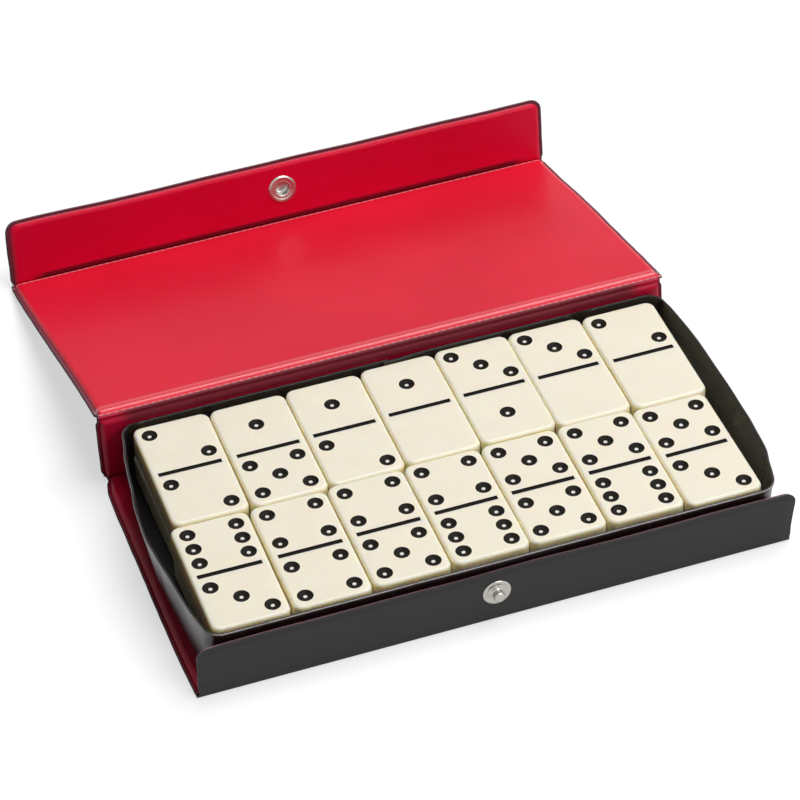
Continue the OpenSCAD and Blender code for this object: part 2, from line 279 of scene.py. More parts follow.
def liningFinish(name, red, deep, welded, rough):
    made = Finish(name, Specular_IOR_Level=0.15, Coat_Roughness=0.16)
    tree, look = made.tree, liningLook
    mottle = made.skin(0.00035, Grain_Scale=2600.0, Grain=0.05, Wave_Scale=26.0)
    field = mixColour(tree, mapRange(tree, mottle, 0.35, 0.65), red, deep)
    along = made.attribute("along")
    # painted shade: near the spine's top fold and the flap's lower fold the lining is mixed toward
    # a dark maroon, fading out toward its sides
    foldShade = mapRange(tree, made.attribute("fold"), *look["foldShade"], (look["foldShadeShare"], 0))
    inward = mapRange(tree, mathNode(tree, "ABSOLUTE", along), *look["foldSides"], (1, 0))
    foldShade = mathNode(tree, "MULTIPLY", foldShade, inward)
    field = mixColour(tree, foldShade, field, look["foldShadeColour"])
    onPillow = mapRange(tree, made.attribute("edge"), *look["pillow"])
    field = mixColour(tree, onPillow, welded, field)
    dash = mathNode(tree, "SINE", mathNode(tree, "MULTIPLY", along, look["dashRate"]))
    dash = mapRange(tree, dash, -look["dashSoft"], look["dashSoft"], (look["dashLeast"], 1))
    fromSeam = mathNode(tree, "ABSOLUTE", made.attribute("seam"))
    seam = mathNode(tree, "MULTIPLY", mapRange(tree, fromSeam, *look["seamHalf"], (1, 0)), dash)
    ridge = made.attribute("ridge")
    onRidge = mathNode(tree, "MULTIPLY", mapRange(tree, ridge, *look["ridgeStart"]),
                       mapRange(tree, ridge, *look["ridgeStop"], (look["ridgeCoat"], 0)))
    coat = mapRange(tree, foldShade, 0, look["foldShadeShare"], (look["coat"], 0), "LINEAR")
    made.feed("Coat Weight", mathNode(tree, "ADD", coat, onRidge))
    made.feed("Base Color", mixColour(tree, seam, field, look["seamColour"]))
    made.feed("Roughness", mapRange(tree, onPillow, 0, 1, (look["weldRough"], rough)))
    return made.material


# rough is at its least and its most, scales are the grain's and the waves'
def plainFinish(name, colour, rubbed, rough, depth, scales, rub, grain=0.1, **sockets):
    made = Finish(name, **sockets)
    tree = made.tree
    mottle = made.skin(depth, Grain_Scale=scales[0], Grain=grain, Wave_Scale=scales[1])
    marks = made.fromGroup(rubGroup, rub)["Mask"]
    made.feed("Base Color", mixColour(tree, marks, colour, rubbed))
    dull = mathNode(tree, "MAXIMUM", mapRange(tree, mottle, 0.4, 0.7), marks)
    made.feed("Roughness", mapRange(tree, dull, 0, 1, rough))
    return made.material


def ivoryFinish():
    made = Finish("ivory", Coat_Weight=0.2, Coat_Roughness=0.15, Subsurface_Weight=0.75,
                  Subsurface_Radius=(1.0, 0.72, 0.28), Subsurface_Scale=0.0035)
    tree = made.tree
    mottle = made.skin(0.00006, Grain_Scale=1500.0, Grain=0.15, Wave_Scale=90.0, Wave=0.6)
    face = mixColour(tree, mapRange(tree, mottle, 0.3, 0.7), (0.845, 0.785, 0.65),
                     (0.825, 0.76, 0.62))
    # painted shade: faces that turn sideways take a deeper amber than the top, by which way they
    # point
    split = tree.nodes.new("ShaderNodeSeparateXYZ")
    plug(tree, split.inputs[0], made.place.outputs["Normal"])
    side = mapRange(tree, split.outputs["Z"], 0.75, 0.2)
    made.feed("Base Color", mixColour(tree, side, face, (0.95, 0.86, 0.60)))
    made.feed("Roughness", mapRange(tree, mottle, 0.3, 0.7, (0.32, 0.40)))
    return made.material


finishes = {
    "red": liningFinish("redLining", (0.72, 0.010, 0.034), (0.67, 0.008, 0.029),
                        (0.19, 0.035, 0.060), 0.42),
    "darkRed": liningFinish("darkRedLining", (0.71, 0.0, 0.036), (0.66, 0.0, 0.030),
                            (0.16, 0.030, 0.050), 0.36),
    # painted shade: a darker copy of the lining red, with darker welds, for the base and spine,
    # which lie in shade
    "shadedRed": liningFinish("shadedRedLining", (0.52, 0.003, 0.036), (0.46, 0.002, 0.030),
                            (0.24, 0.006, 0.022), 0.36),
    # painted shade: a still darker copy of the lining red for the front panel's lining, which
    # faces the tray band
    "shadedFrontRed": liningFinish("shadedFrontRedLining", (0.34, 0.001, 0.018), (0.30, 0.001, 0.014),
                             (0.060, 0.030, 0.036), 0.40),
    "outer": plainFinish("outerVinyl", (0.010, 0.0095, 0.009), (0.012, 0.0113, 0.0108),
                         rough=(0.42, 0.45), depth=0.00012, scales=(2200.0, 60.0),
                         rub=dict(Scale=40.0), Specular_IOR_Level=0.36),
    "tray": plainFinish("trayVinyl", (0.012, 0.0088, 0.0090), (0.016, 0.0125, 0.0120),
                        rough=(0.26, 0.38), depth=0.00030, scales=(1800.0, 45.0), grain=0.03,
                        rub=dict(Stretch=(6, 6, 0.4), Scale=60.0, Least=0.5, Most=0.7)),
    "trayFloor": plainFinish("trayFloorVinyl", (0.008, 0.0062, 0.0058), (0.011, 0.009, 0.008),
                             rough=(0.42, 0.50), depth=0.00020, scales=(1800.0, 45.0),
                             grain=0.03, rub=dict(Scale=60.0), Specular_IOR_Level=0.15),
    "cutBlack": plainFinish("cutTrayEdge", (0.012, 0.010, 0.010), (0.03, 0.025, 0.025),
                            rough=(0.32, 0.45), depth=0.00005, scales=(3000.0, 300.0),
                            rub=dict(Scale=300.0), Specular_IOR_Level=0.25),
    # painted highlight: light grey on the faces of the band's rounded outer top edge
    "rimShine": plainFinish("rimPaintedHighlight", (0.38, 0.36, 0.35), (0.07, 0.06, 0.06),
                            rough=(0.35, 0.5), depth=0.00005, scales=(3000.0, 300.0),
                            rub=dict(Scale=160.0)),
    "cutOuter": plainFinish("cutOuterEdge", (0.045, 0.036, 0.036), (0.09, 0.06, 0.06),
                            rough=(0.5, 0.6), depth=0.00005, scales=(3000.0, 300.0),
                            rub=dict(Scale=300.0)),
    # the lining's cut edge: a paler pink, partly the vinyl's own translucent edge and partly a
    # painted highlight
    "cutRedAndHighlight": plainFinish("cutLiningEdgeAndHighlight", (0.20, 0.095, 0.115), (0.12, 0.045, 0.060),
                          rough=(0.40, 0.55), depth=0.00005, scales=(3000.0, 300.0),
                          rub=dict(Scale=300.0)),
    "board": plainFinish("greyBoard", (0.36, 0.31, 0.25), (0.30, 0.26, 0.21),
                         rough=(0.85, 0.95), depth=0.0001, scales=(1500.0, 120.0),
                         rub=dict(Scale=200.0)),
    "metal": plainFinish("nickel", (0.46, 0.44, 0.41), (0.30, 0.28, 0.25),
                         rough=(0.20, 0.34), depth=0.00003, scales=(2500.0, 300.0),
                         rub=dict(Scale=500.0), Metallic=1.0),
    "ivory": ivoryFinish(),
    "pip": plainFinish("pipPaint", (0.008, 0.006, 0.004), (0.013, 0.010, 0.007),
                       rough=(0.42, 0.55), depth=0.00008, scales=(1500.0, 400.0),
                       rub=dict(Scale=400.0), Specular_IOR_Level=0.06),
    "spot": plainFinish("pipSpot", (0.72, 0.70, 0.66), (0.60, 0.58, 0.54), rough=(0.4, 0.5),
                        depth=0.00004, scales=(1500.0, 400.0), rub=dict(Scale=400.0)),
}
print("case: finishes ready")

# the wrap's five panels, in mm: each has its own plane of u (across), v (from fold to fold) and
# h (up from the black side)
wrap = dict(width=191.6, liningIn=0.35, axisUp=0.55, gap=1.0, bead=0.55, baseY=-50.75,
            frontY=-52.3, spineY=52.4, backY=51.85, standZ=1.55, spineH=26.0, lidL=106.8,
            flapAngle=88.981, sheet=0.3, lining=0.38, weldTop=0.9, foldTop=1.0, panelTop=2.0,
            sideRise=(0.85, 2.6), foldRise=(-0.25, 1.75), creaseAt=0.95, creaseHalf=0.2,
            crease=0.10, sheetLift=0.18, sheetLevel=(0.8, 2.4), footLift=0.04, footReach=3,
            tiedTo=1.0, tiedOver=0.9, ripple=0.16, freeRipple=0.5, nearSeam=-0.05, farSeam=1.05,
            cutWidth=1.5)
farAway = 9  # the fold and seam distance where there is none
restSlope = math.asin((wrap["spineH"] - wrap["axisUp"]) / wrap["lidL"])


def plane(origin, u, v, h):
    made = Matrix((u, v, h)).transposed().to_4x4()
    made.translation = origin
    return made


onLid = (Matrix.Translation((0, wrap["backY"], wrap["spineH"]))
         @ Matrix.Rotation(-restSlope, 4, "X"))
offFold = Matrix.Translation((0, wrap["gap"], -wrap["axisUp"]))
planes = {
    "base": plane((0, wrap["baseY"], 0), (1, 0, 0), (0, 1, 0), (0, 0, 1)),
    "front": plane((0, wrap["frontY"], wrap["standZ"]), (-1, 0, 0), (0, 0, 1), (0, 1, 0)),
    "spine": plane((0, wrap["spineY"], wrap["standZ"]), (1, 0, 0), (0, 0, 1), (0, -1, 0)),
    "lid": onLid @ offFold,
    "flap": (onLid @ Matrix.Translation((0, wrap["lidL"], 0))
             @ Matrix.Rotation(math.radians(wrap["flapAngle"]), 4, "X") @ offFold),
}
# left and right are how far each side is shifted toward +u, by v, as measured; lean is how far
# the front panel's top stands off, by u; rise and farRise place the swell of the lid's lining
leaves = {
    "base": dict(depth=101.6, ends=("tuck", "bead"), corner=(0.5, 2.4), wave=0.0, body="case",
                 left=((0, -0.6), (20, -1.1), (45, -0.9), (80, -0.6), (94, -0.3), (101, 0.9)),
                 right=((0, 1.5), (101, 0.5)), finish="shadedRed"),
    "front": dict(depth=18.05, ends=("square", "free"), corner=(0.5, 4.0), wave=0.0, body="case",
                  left=((0, -1.5), (18, -3.0)), right=((0, -0.3), (18, -0.3)), finish="shadedFrontRed",
                  lean=((-95, 0.0), (-78, 0.2), (-50, 0.25), (-20, 0.1), (-6, 0.0), (6, 0.0),
                        (20, 0.1), (60, 0.25), (95, 0.25))),
    "spine": dict(depth=23.45, ends=("lip", "bead"), corner=(2.4, 2.2), wave=0.0, body="spine",
                  left=((0, 0.0), (23, -0.3)), right=((0, 0.6), (8, 1.3), (23, 0.6)),
                  finish="shadedRed"),
    "lid": dict(depth=104.8, ends=("lip", "bead"), corner=(2.2, 1.2), wave=0.22, body="lid",
                left=((0, 0.0), (105, -2.2)), right=((0, 1.8), (3, 1.4), (50, 0.7), (105, -1.1)),
                rise=(0.7, 2.9), farRise=(-0.2, 0.6), finish="red"),
    "flap": dict(depth=22.4, ends=("lip", "free"), corner=(1.6, 4.0), wave=0.15, body="flap",
                 left=((0, -1.9), (8, -1.4), (22, -0.8)), right=((0, -0.9), (22, 0.1)),
                 finish="darkRed"),
}
edgeSteps = [0, 0.3, 0.6, 0.85, 1.0, 1.2, 1.45, 1.7, 2.0, 2.3, 2.7, 3.4, 4.4, 6, 8, 12, 18]
# (v, h) rows past a panel's edge at v = 0, of the black sheet and of the lining; the front panel
# stands square on the table and the base is tucked under it
foldShapes = {
    "free": ([], []),
    "square": ([(-0.5, 0.03), (-1.1, 0.0), (-1.38, 0.05), (-1.5, 0.3)],
               [(-0.15, 1.15), (-0.4, 1.0)]),
    "tuck": ([(-0.6, 0.04), (-1.2, 0.02), (-1.4, 0.1), (-1.48, 0.3)],
             [(-0.2, 1.15), (-0.5, 1.0)]),
    "lip": ([(-0.12, 0.20), (-0.3, 0.26)],
            [(-0.1, 1.2), (-0.22, 1.14), (-0.34, 1.0), (-0.38, 0.75)]),
    "bead": ([(-0.3, 0.18)], [(-0.1, 1.2), (-0.3, 1.14)]),
}


def spread(length, step=4.0):  # places along a side, dense at both ends
    near = [s for s in edgeSteps if s < length * 0.42]
    inner = length - 2 * near[-1]
    parts = max(1, round(inner / step))
    middle = [near[-1] + inner * k / parts for k in range(1, parts)]
    return near + middle + [length - s for s in reversed(near)]


def foldRows(kind, black):
    rows = list(foldShapes[kind][0 if black else 1])
    if kind == "bead":  # goes on round the fold's axis
        r, turn = wrap["bead"], -1 if black else 1
        for angle in range(45 if black else 60, 181, 15):
            a = math.radians(angle)
            rows.append((r * math.cos(a) - wrap["gap"], wrap["axisUp"] + turn * r * math.sin(a)))
    return rows


def leafPoint(leaf, u, v, width):  # rounds the corners, then skews and ripples the outline
    depth = leaf["depth"]
    r = leaf["corner"][0 if v < depth / 2 else 1]
    fromSide, fromEnd = width / 2 - abs(u), min(v, depth - v)
    if 0 <= fromEnd and fromSide < r and fromEnd < r:
        a, b = r - fromSide, r - fromEnd
        k = max(a, b) / math.hypot(a, b)
        fromSide, fromEnd = r - a * k, r - b * k
    outU = math.copysign(width / 2 - fromSide, u)
    outV = fromEnd if v < depth / 2 else depth - fromEnd
    across = (u + width / 2) / width
    outU += fromTable(leaf["left"], v) * (1 - across) + fromTable(leaf["right"], v) * across
    atSide = (abs(u) / (width / 2)) ** 8
    outU += wrap["ripple"] * noise.noise(Vector((math.copysign(3, u), v / 7, depth))) * atSide
    if leaf["ends"][1] == "free":
        swing = noise.noise(Vector((u / 28, 5, depth)))
        outV += wrap["freeRipple"] * swing * fade(0.5, 1, v / depth)
    return outU, outV


def swelling(x, start, stop):
    return 1 - (1 - clamp((x - start) / (stop - start))) ** 2


def sheetHeight(leaf, v, fromRim):  # level, and a little up where it is welded
    h = wrap["sheetLift"] * (1 - fade(*wrap["sheetLevel"], fromRim))
    onTable = leaf["ends"][0] in ("square", "tuck") and v < wrap["footReach"]
    return min(h, wrap["footLift"]) if onTable else h


def liningHeight(leaf, u, v, away, toFold):  # a low weld with a crease, a swell, then slow waves
    low, mid, top = wrap["weldTop"], wrap["foldTop"], wrap["panelTop"]
    rise = leaf.get("farRise" if v > leaf["depth"] / 2 else "rise", wrap["foldRise"])
    atSide = low + (top - low) * swelling(away, *wrap["sideRise"]) ** 0.8
    atFold = mid + (top - mid) * swelling(toFold, *rise) ** 0.9
    crease = math.exp(-((away - wrap["creaseAt"]) / wrap["creaseHalf"]) ** 2)
    wave = max(0.5 + 0.8 * noise.noise(Vector((u / 34, v / 26, leaf["depth"]))), 0)
    return (min(atSide, atFold) - wrap["crease"] * crease
            + leaf["wave"] * wave * fade(3, 14, min(away, toFold)))


def leafPiece(name, key, black):
    leaf, at = leaves[key], planes[key]
    width = wrap["width"] - (0 if black else 2 * wrap["liningIn"])
    depth, free = leaf["depth"], leaf["ends"][1] == "free"
    us = [u - width / 2 for u in spread(width)]
    low, high = (foldRows(end, black) for end in leaf["ends"])
    rows = ([(v, h) for v, h in reversed(low)] + [(v, None) for v in spread(depth)]
            + [(depth - v, h) for v, h in high])
    obj = addPrimitive(bpy.ops.mesh.primitive_grid_add, name, size=1,
                       x_subdivisions=len(us) - 1, y_subdivisions=len(rows) - 1)
    marks = {label: [] for label in ("edge", "along", "fold", "seam", "ridge")}
    for vert in obj.data.vertices:
        u = us[round((vert.co.x + 0.5) * (len(us) - 1))]
        v, h = rows[round((vert.co.y + 0.5) * (len(rows) - 1))]
        inside = clamp(v, 0, depth)
        outU, outV = leafPoint(leaf, u, inside, width)
        away, toFold = width / 2 - abs(u), min(inside, depth - inside)
        if free:  # welded there as at the sides
            away, toFold = min(away, depth - inside), inside
        if h is not None:
            outV = v
        elif black:
            h = sheetHeight(leaf, v, min(away, toFold))
        else:
            h = liningHeight(leaf, u, v, away, toFold)
        if "lean" in leaf:  # the top stands off the board, and the lining only at its weld
            tied = 1 if black else 1 - clamp((h - wrap["tiedTo"]) / wrap["tiedOver"])
            h -= fromTable(leaf["lean"], u) * clamp(v / depth) ** 1.5 * tied
        vert.co = at @ Vector((outU, outV, h)) * mm
        marks["edge"].append(away)
        marks["along"].append(u)
        marks["fold"].append({"spine": depth - v, "flap": v}.get(key, farAway))
        seam = depth - v - wrap["farSeam"] if v > depth / 2 else v - wrap["nearSeam"]
        marks["seam"].append(seam if key == "lid" else farAway)
        marks["ridge"].append(max(v, 0) if key == "lid" else 0)
    for label, values in marks.items():
        obj.data.attributes.new(label, "FLOAT", "POINT").data.foreach_set("value", values)
    if black:
        flipFaces(obj)
    dress(obj, finishes["outer" if black else leaf["finish"]],
          finishes["cutOuter" if black else "cutRedAndHighlight"])
    modify(obj, "SOLIDIFY", thickness=wrap["sheet" if black else "lining"] * mm, offset=-1,
           use_quality_normals=True, material_offset_rim=1)
    toEdge = obj.data.attributes["edge"].data
    for face in obj.data.polygons:  # only the cut outline shows the other colour, not the folds
        if min(toEdge[k].value for k in face.vertices) > wrap["cutWidth"]:
            face.material_index = 0
    smooth(obj, 40)
    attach(obj, leaf["body"])
    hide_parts(key + ("_sheet" if black else "_lining"))
    return obj


def drill(obj, centre, way, radius, reach):
    bit = addPrimitive(bpy.ops.mesh.primitive_cylinder_add, "drill", vertices=48,
                       radius=radius * mm, depth=reach * mm)
    bit.matrix_world = (Matrix.Translation(Vector(centre) * mm)
                        @ Vector(way).to_track_quat("Z", "Y").to_matrix().to_4x4())
    settle(bit)
    dress(bit, *obj.data.materials)
    parent, obj.parent = obj.parent, None
    modify(obj, "BOOLEAN", operation="DIFFERENCE", object=bit, solver="EXACT")
    obj.parent = parent
    bpy.data.objects.remove(bit)


panels = {}
for key in leaves:
    panels[key + "Sheet"] = leafPiece(key + "Sheet", key, True)
    panels[key + "Lining"] = leafPiece(key + "Lining", key, False)
    dress(frame["nodes"][key + "_board"], finishes["board"])
print("case: panels welded")

# the upright band of the tray, in mm, between a middle line at its foot and another at its rim;
# leftRim and rightRim are how far each end leans toward +x, by y
band = dict(thick=0.8, innerY=49.4, footX=93.1, rimX=96.6, footCorner=4.0, rimCorner=5.5,
            footBow=960.0, rimBow=320.0, lapIn=0.85, lapHalf=0.95, ease=14.0, easeSteps=6,
            footZ=2.0, floorZ=2.9, rimZ=22.4, floorGap=0.03, arcSteps=12, step=2.6, lip=0.24,
            highlightTilt=(0.3, 0.92), highlightDepth=0.4, ripple=0.16, rippleFrom=(3, 16), leanFrom=(60, 84),
            footDrawn=0.8, sideY=48, frontLean=1.2,
            heights=(0, 0.08, 0.2, 0.35, 0.5, 0.65, 0.78, 0.88, 0.95, 1.0),
            leftRim=((-48, 1.8), (-36, 1.2), (-24, 1.2), (-12, 0.7), (-3, 0.3), (9, 0.8),
                     (24, 2.3), (34, 2.8), (42, 3.8), (48, 4.0)),
            rightRim=((-48, 0.3), (-41, 1.1), (-33, 2.1), (-22, 1.8), (-9, 1.4), (7, 1.15),
                      (25, 1.5), (40, 1.5), (48, 1.2)))


def quarterLine(x, y, corner, bow):  # from the back corner's start to the middle of the end
    b = math.asin((y - corner) / (bow - corner))
    cx = x - bow + (bow - corner) * math.cos(b)
    steps = band["arcSteps"]
    turns = [math.pi / 2 - (math.pi / 2 - b) * k / steps for k in range(steps + 1)]
    ends = [b * (1 - k / steps) for k in range(1, steps + 1)]
    return ([Vector((cx + corner * math.cos(a), y - corner + corner * math.sin(a))) for a in turns]
            + [Vector((x - bow + bow * math.cos(a), bow * math.sin(a))) for a in ends])


def bandLine(level):  # once round clockwise, from the lap's inner end to its outer
    x, y = band[level + "X"] - band["thick"] / 2, band["innerY"] + band["thick"] / 2
    quarter = quarterLine(x, y, band[level + "Corner"], band[level + "Bow"])
    right = quarter + [Vector((p.x, -p.y)) for p in reversed(quarter[:-1])]
    left = [Vector((-p.x, p.y)) for p in reversed(right)]
    half, inside, steps = band["lapHalf"], band["lapIn"], band["easeSteps"]
    ease = [Vector((half + band["ease"] * k / steps, y - inside * (1 - fade(0, steps, k))))
            for k in range(steps + 1)]
    return [Vector((-half, y - inside))] + ease + right + left + [Vector((half, y))]


def bandPoint(x, y, share):  # the rim's measured lean, and ripples that stay clear of the wrap
    lean = fromTable(band["leftRim" if x < 0 else "rightRim"], y)
    drawnIn = band["footDrawn"] * fade(0, 0.6, lean) if x < 0 else 0  # the foot's share of it
    x += fade(*band["leanFrom"], abs(x)) * lean * (drawnIn + (1 - drawnIn) * share)
    swell = share ** 1.5 * band["ripple"] * fade(*band["rippleFrom"], abs(x))
    if abs(y) > band["sideY"]:
        y -= math.copysign(swell * (0.5 + 0.7 * noise.noise(Vector((x / 17, y, share)))), y)
    else:
        x += swell * 0.4 * noise.noise(Vector((x, y / 13, share)))
    if y < 0:
        y -= band["frontLean"] * fade(0.84, 1, share) * fade(40, 49, -y)
    return x, y


def sideways(way):
    way = way.normalized()
    return Vector((-way.y, way.x))


def buildBand():
    foot, rim = bandLine("foot"), bandLine("rim")
    pairs = []
    for k in range(len(foot) - 1):
        cuts = max(1, math.ceil((foot[k + 1] - foot[k]).length / band["step"]))
        pairs += [(foot[k].lerp(foot[k + 1], c / cuts), rim[k].lerp(rim[k + 1], c / cuts))
                  for c in range(cuts)]
    pairs.append((foot[-1], rim[-1]))
    heights, last = band["heights"], len(pairs) - 1
    obj = addPrimitive(bpy.ops.mesh.primitive_grid_add, "trayBand", size=1,
                       x_subdivisions=last, y_subdivisions=len(heights) - 1)
    for vert in obj.data.vertices:
        k = round((vert.co.x + 0.5) * last)
        share = heights[round((vert.co.y + 0.5) * (len(heights) - 1))]
        before, after = pairs[max(k - 1, 0)], pairs[min(k + 1, last)]
        way = (after[0] - before[0]).lerp(after[1] - before[1], share)
        spot = pairs[k][0].lerp(pairs[k][1], share) + sideways(way) * band["thick"] / 2
        x, y = bandPoint(spot.x, spot.y, share)
        z = band["footZ"] + (band["rimZ"] - band["footZ"]) * share
        vert.co = Vector((x, y, z)) * mm
    dress(obj, finishes["tray"], finishes["cutBlack"], finishes["rimShine"])
    flipFaces(obj)
    modify(obj, "SOLIDIFY", thickness=band["thick"] * mm, offset=-1, use_quality_normals=True,
           material_offset_rim=1)
    top = (band["rimZ"] - 0.01) * mm
    bevelEdges(obj, lambda edge: {f.material_index for f in edge.link_faces} == {0, 1}
               and all(v.co.z > top for v in edge.verts), band["lip"], 4)
    smooth(obj, 40)
    low, high = band["highlightTilt"]
    for face in obj.data.polygons:  # the outer edge is painted a thin light line, a painted highlight
        if face.center.z > top - band["highlightDepth"] * mm and low < face.normal.z < high:
            outward = face.normal.x * face.center.x / 4 + face.normal.y * face.center.y
            face.material_index = 2 if outward > 0 else 1
    return obj


def buildTrayFloor():  # lies inside the band's foot, which the left side draws in
    foot = bandLine("foot")[:-1]
    obj = addPrimitive(bpy.ops.mesh.primitive_circle_add, "trayFloorPiece", vertices=len(foot),
                       radius=mm, fill_type="NGON")
    inset = band["thick"] / 2 + band["floorGap"]
    for k, vert in enumerate(obj.data.vertices):
        spot = foot[k] - sideways(foot[(k + 1) % len(foot)] - foot[k - 1]) * inset
        vert.co = Vector((*bandPoint(spot.x, spot.y, 0), band["floorZ"])) * mm
    flipFaces(obj)  # the band's line runs clockwise
    dress(obj, finishes["trayFloor"])
    modify(obj, "SOLIDIFY", thickness=(band["floorZ"] - band["footZ"]) * mm, offset=-1)
    smooth(obj, 40)
    return obj


trayBand = buildBand()
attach(trayBand, "case")
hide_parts("tray_band")
trayFloor = buildTrayFloor()
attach(trayFloor, "case")
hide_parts("tray_floor")
dress(frame["nodes"]["stud_washer"], finishes["metal"])
print("case: tray band stood up")


def turnedPiece(name, profile, finish, segments=64):  # rings of (radius, height) from a circle
    (r, z), *rest = profile
    obj = addPrimitive(bpy.ops.mesh.primitive_circle_add, name, vertices=segments,
                       radius=r * mm, location=(0, 0, z * mm))
    settle(obj)
    startEdit(obj)
    bpy.ops.mesh.select_all(action="SELECT")
    for nextR, nextZ in rest:
        bpy.ops.mesh.extrude_region_move(
            TRANSFORM_OT_translate={"value": (0, 0, (nextZ - z) * mm)})
        bpy.ops.transform.resize(value=(nextR / r, nextR / r, 1), center_override=(0, 0, 0))
        r, z = nextR, nextZ
    bpy.ops.mesh.select_all(action="SELECT")
    bpy.ops.mesh.remove_doubles(threshold=0.012 * mm)
    bpy.ops.mesh.normals_make_consistent(inside=False)
    dress(obj, finish)
    smooth(obj, 38)
    return obj


def roundOver(points, size=0.12, steps=3):  # softens each inner corner of a turned outline
    made = [points[0]]
    for before, here, after in zip(points, points[1:], points[2:]):
        b, h, a = Vector(before), Vector(here), Vector(after)
        cut = min(size, (b - h).length * 0.4, (a - h).length * 0.4)
        p, q = h + (b - h).normalized() * cut, h + (a - h).normalized() * cut
        for k in range(steps + 1):
            t = k / steps
            made.append(tuple(p * (1 - t) ** 2 + h * 2 * t * (1 - t) + q * t ** 2))
    return made + [points[-1]]


# the snap's pieces are turned from outlines of (radius, height), and these place them and their
# holes, in mm
snap = dict(studZ=11.1, socketAt=13.0, rivetR=1.35, barrelR=3.05, reach=8, panelY=-51.3,
            bandY=-49.8, bandReach=3)
tiny = 0.004
stud = turnedPiece("snapStudPiece", roundOver([
    (tiny, -3.8), (0.9, -3.8), (1.2, -3.4), (1.2, -0.02), (4.55, -0.02), (4.6, 0.14),
    (4.35, 0.36), (3.9, 0.42), (3.35, 0.36), (3.1, 0.16), (2.75, 0.12), (2.5, 0.28), (2.2, 0.34),
    (1.85, 0.42), (1.6, 0.75), (1.5, 1.3), (1.55, 1.9), (1.8, 2.25), (1.85, 2.55), (1.7, 2.88),
    (1.35, 3.1), (0.8, 3.19), (tiny, 3.2)]), finishes["metal"])
stud.matrix_world = plane(Vector((0, wrap["frontY"], snap["studZ"])) * mm,
                          (1, 0, 0), (0, 0, 1), (0, -1, 0))
settle(stud)
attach(stud, "case")
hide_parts("snap_stud")

onSocket = planes["flap"].copy()
onSocket.translation = planes["flap"] @ Vector((0, snap["socketAt"] - wrap["gap"], 0)) * mm
socket = turnedPiece("snapSocketPiece", roundOver([
    (2.25, 0.0), (2.95, 0.0), (2.95, 1.98), (4.85, 1.98), (4.95, 2.12), (4.8, 2.36),
    (4.3, 2.5), (3.7, 2.46), (3.3, 2.34), (2.9, 2.38), (2.5, 2.34), (2.25, 2.15), (2.25, 0.0)],
    0.08), finishes["metal"])
cap = turnedPiece("socketCapPiece", roundOver([
    (tiny, -1.5), (2.2, -1.42), (3.9, -1.0), (4.9, -0.5), (5.25, -0.12), (5.3, -0.02),
    (3.2, -0.02), (3.05, -0.35), (2.1, -1.05), (tiny, -1.12)], 0.25), finishes["metal"])
for piece, node in ((socket, "snap_socket"), (cap, "socket_cap")):
    piece.matrix_world = onSocket
    settle(piece)
    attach(piece, "flap")
    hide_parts(node)

for piece, y, reach in ((panels["frontSheet"], snap["panelY"], snap["reach"]),
                        (panels["frontLining"], snap["panelY"], snap["reach"]),
                        (trayBand, snap["bandY"], snap["bandReach"])):
    drill(piece, (0, y, snap["studZ"]), (0, 1, 0), snap["rivetR"], reach)
flapHole = planes["flap"] @ Vector((0, snap["socketAt"] - wrap["gap"], 1))
flapWay = planes["flap"].to_3x3() @ Vector((0, 0, 1))
for panel in ("flapSheet", "flapLining"):
    drill(panels[panel], flapHole, flapWay, snap["barrelR"], snap["reach"])
print("case: snap set in")

# one blank domino, copied and cut for each of the twenty-eight, in mm
domino = dict(width=25.0, length=47.7, thick=9.5, corner=3.0, edge=1.1, pitchX=25.4, pitchY=48.1,
              pip=2.55, pipDepth=0.55, pipLip=0.28, spot=0.62, pipX=7.8, pipY=6.6, halfY=12.3,
              barL=20.6, barW=1.65, barDepth=0.5, barRound=0.3, shift=1.6, rowShift=0.8,
              slip=0.3)
upper = {"front": ((6, 3), (4, 4), (4, 5), (4, 6), (5, 5), (5, 6), (5, 3)),
         "back": ((2, 2), (1, 5), (1, 2), (1, 0), (3, 1), (3, 0), (2, 0))}
lower = {"front": ((0, 0), (0, 4), (0, 5), (0, 6), (1, 1), (1, 4), (1, 6)),
         "back": ((2, 3), (2, 4), (2, 5), (2, 6), (3, 3), (3, 4), (6, 6))}
# how each upper one lies off its even place, as measured: x, y and degrees of turn
lying = {"front": ((-1.33, -.51, -.71), (-.98, -.59, -.26), (-.89, .08, -.14), (-.83, .57, .09),
                   (-.90, .58, -.40), (-.77, .53, -.32), (-.94, -.63, .36)),
         "back": ((1.0, -.29, -.79), (1.11, -.64, -.18), (1.09, -.2, -.16), (1.08, .52, -.12),
                  (.99, .86, -.13), (.67, .29, -.09), (.69, -.61, .15))}
slips = (-0.8, -1, 0, 0.9, 1, 0.6, -1)  # the lower ones' share of slip, by column
pipPlaces = {0: [], 1: [(0, 0)], 2: [(-1, 1), (1, -1)], 4: [(-1, 1), (1, 1), (-1, -1), (1, -1)]}
pipPlaces[3] = pipPlaces[2] + pipPlaces[1]
pipPlaces[5] = pipPlaces[4] + pipPlaces[1]
pipPlaces[6] = pipPlaces[4] + [(-1, 0), (1, 0)]
dominoFinishes = (finishes["ivory"], finishes["pip"], finishes["spot"])


def climb(edge):
    return abs(edge.verts[0].co.z - edge.verts[1].co.z)


def addBlock(name, *size):
    obj = addPrimitive(bpy.ops.mesh.primitive_cube_add, name, size=1,
                       scale=[side * mm for side in size])
    settle(obj)
    dress(obj, *dominoFinishes)
    return obj


def buildBlank():
    d = domino
    obj = addBlock("dominoBlank", d["width"], d["length"], d["thick"])
    bevelEdges(obj, lambda edge: climb(edge) > mm, d["corner"], 8)
    bevelEdges(obj, lambda edge: climb(edge) < 0.01 * mm, d["edge"], 5)
    return obj


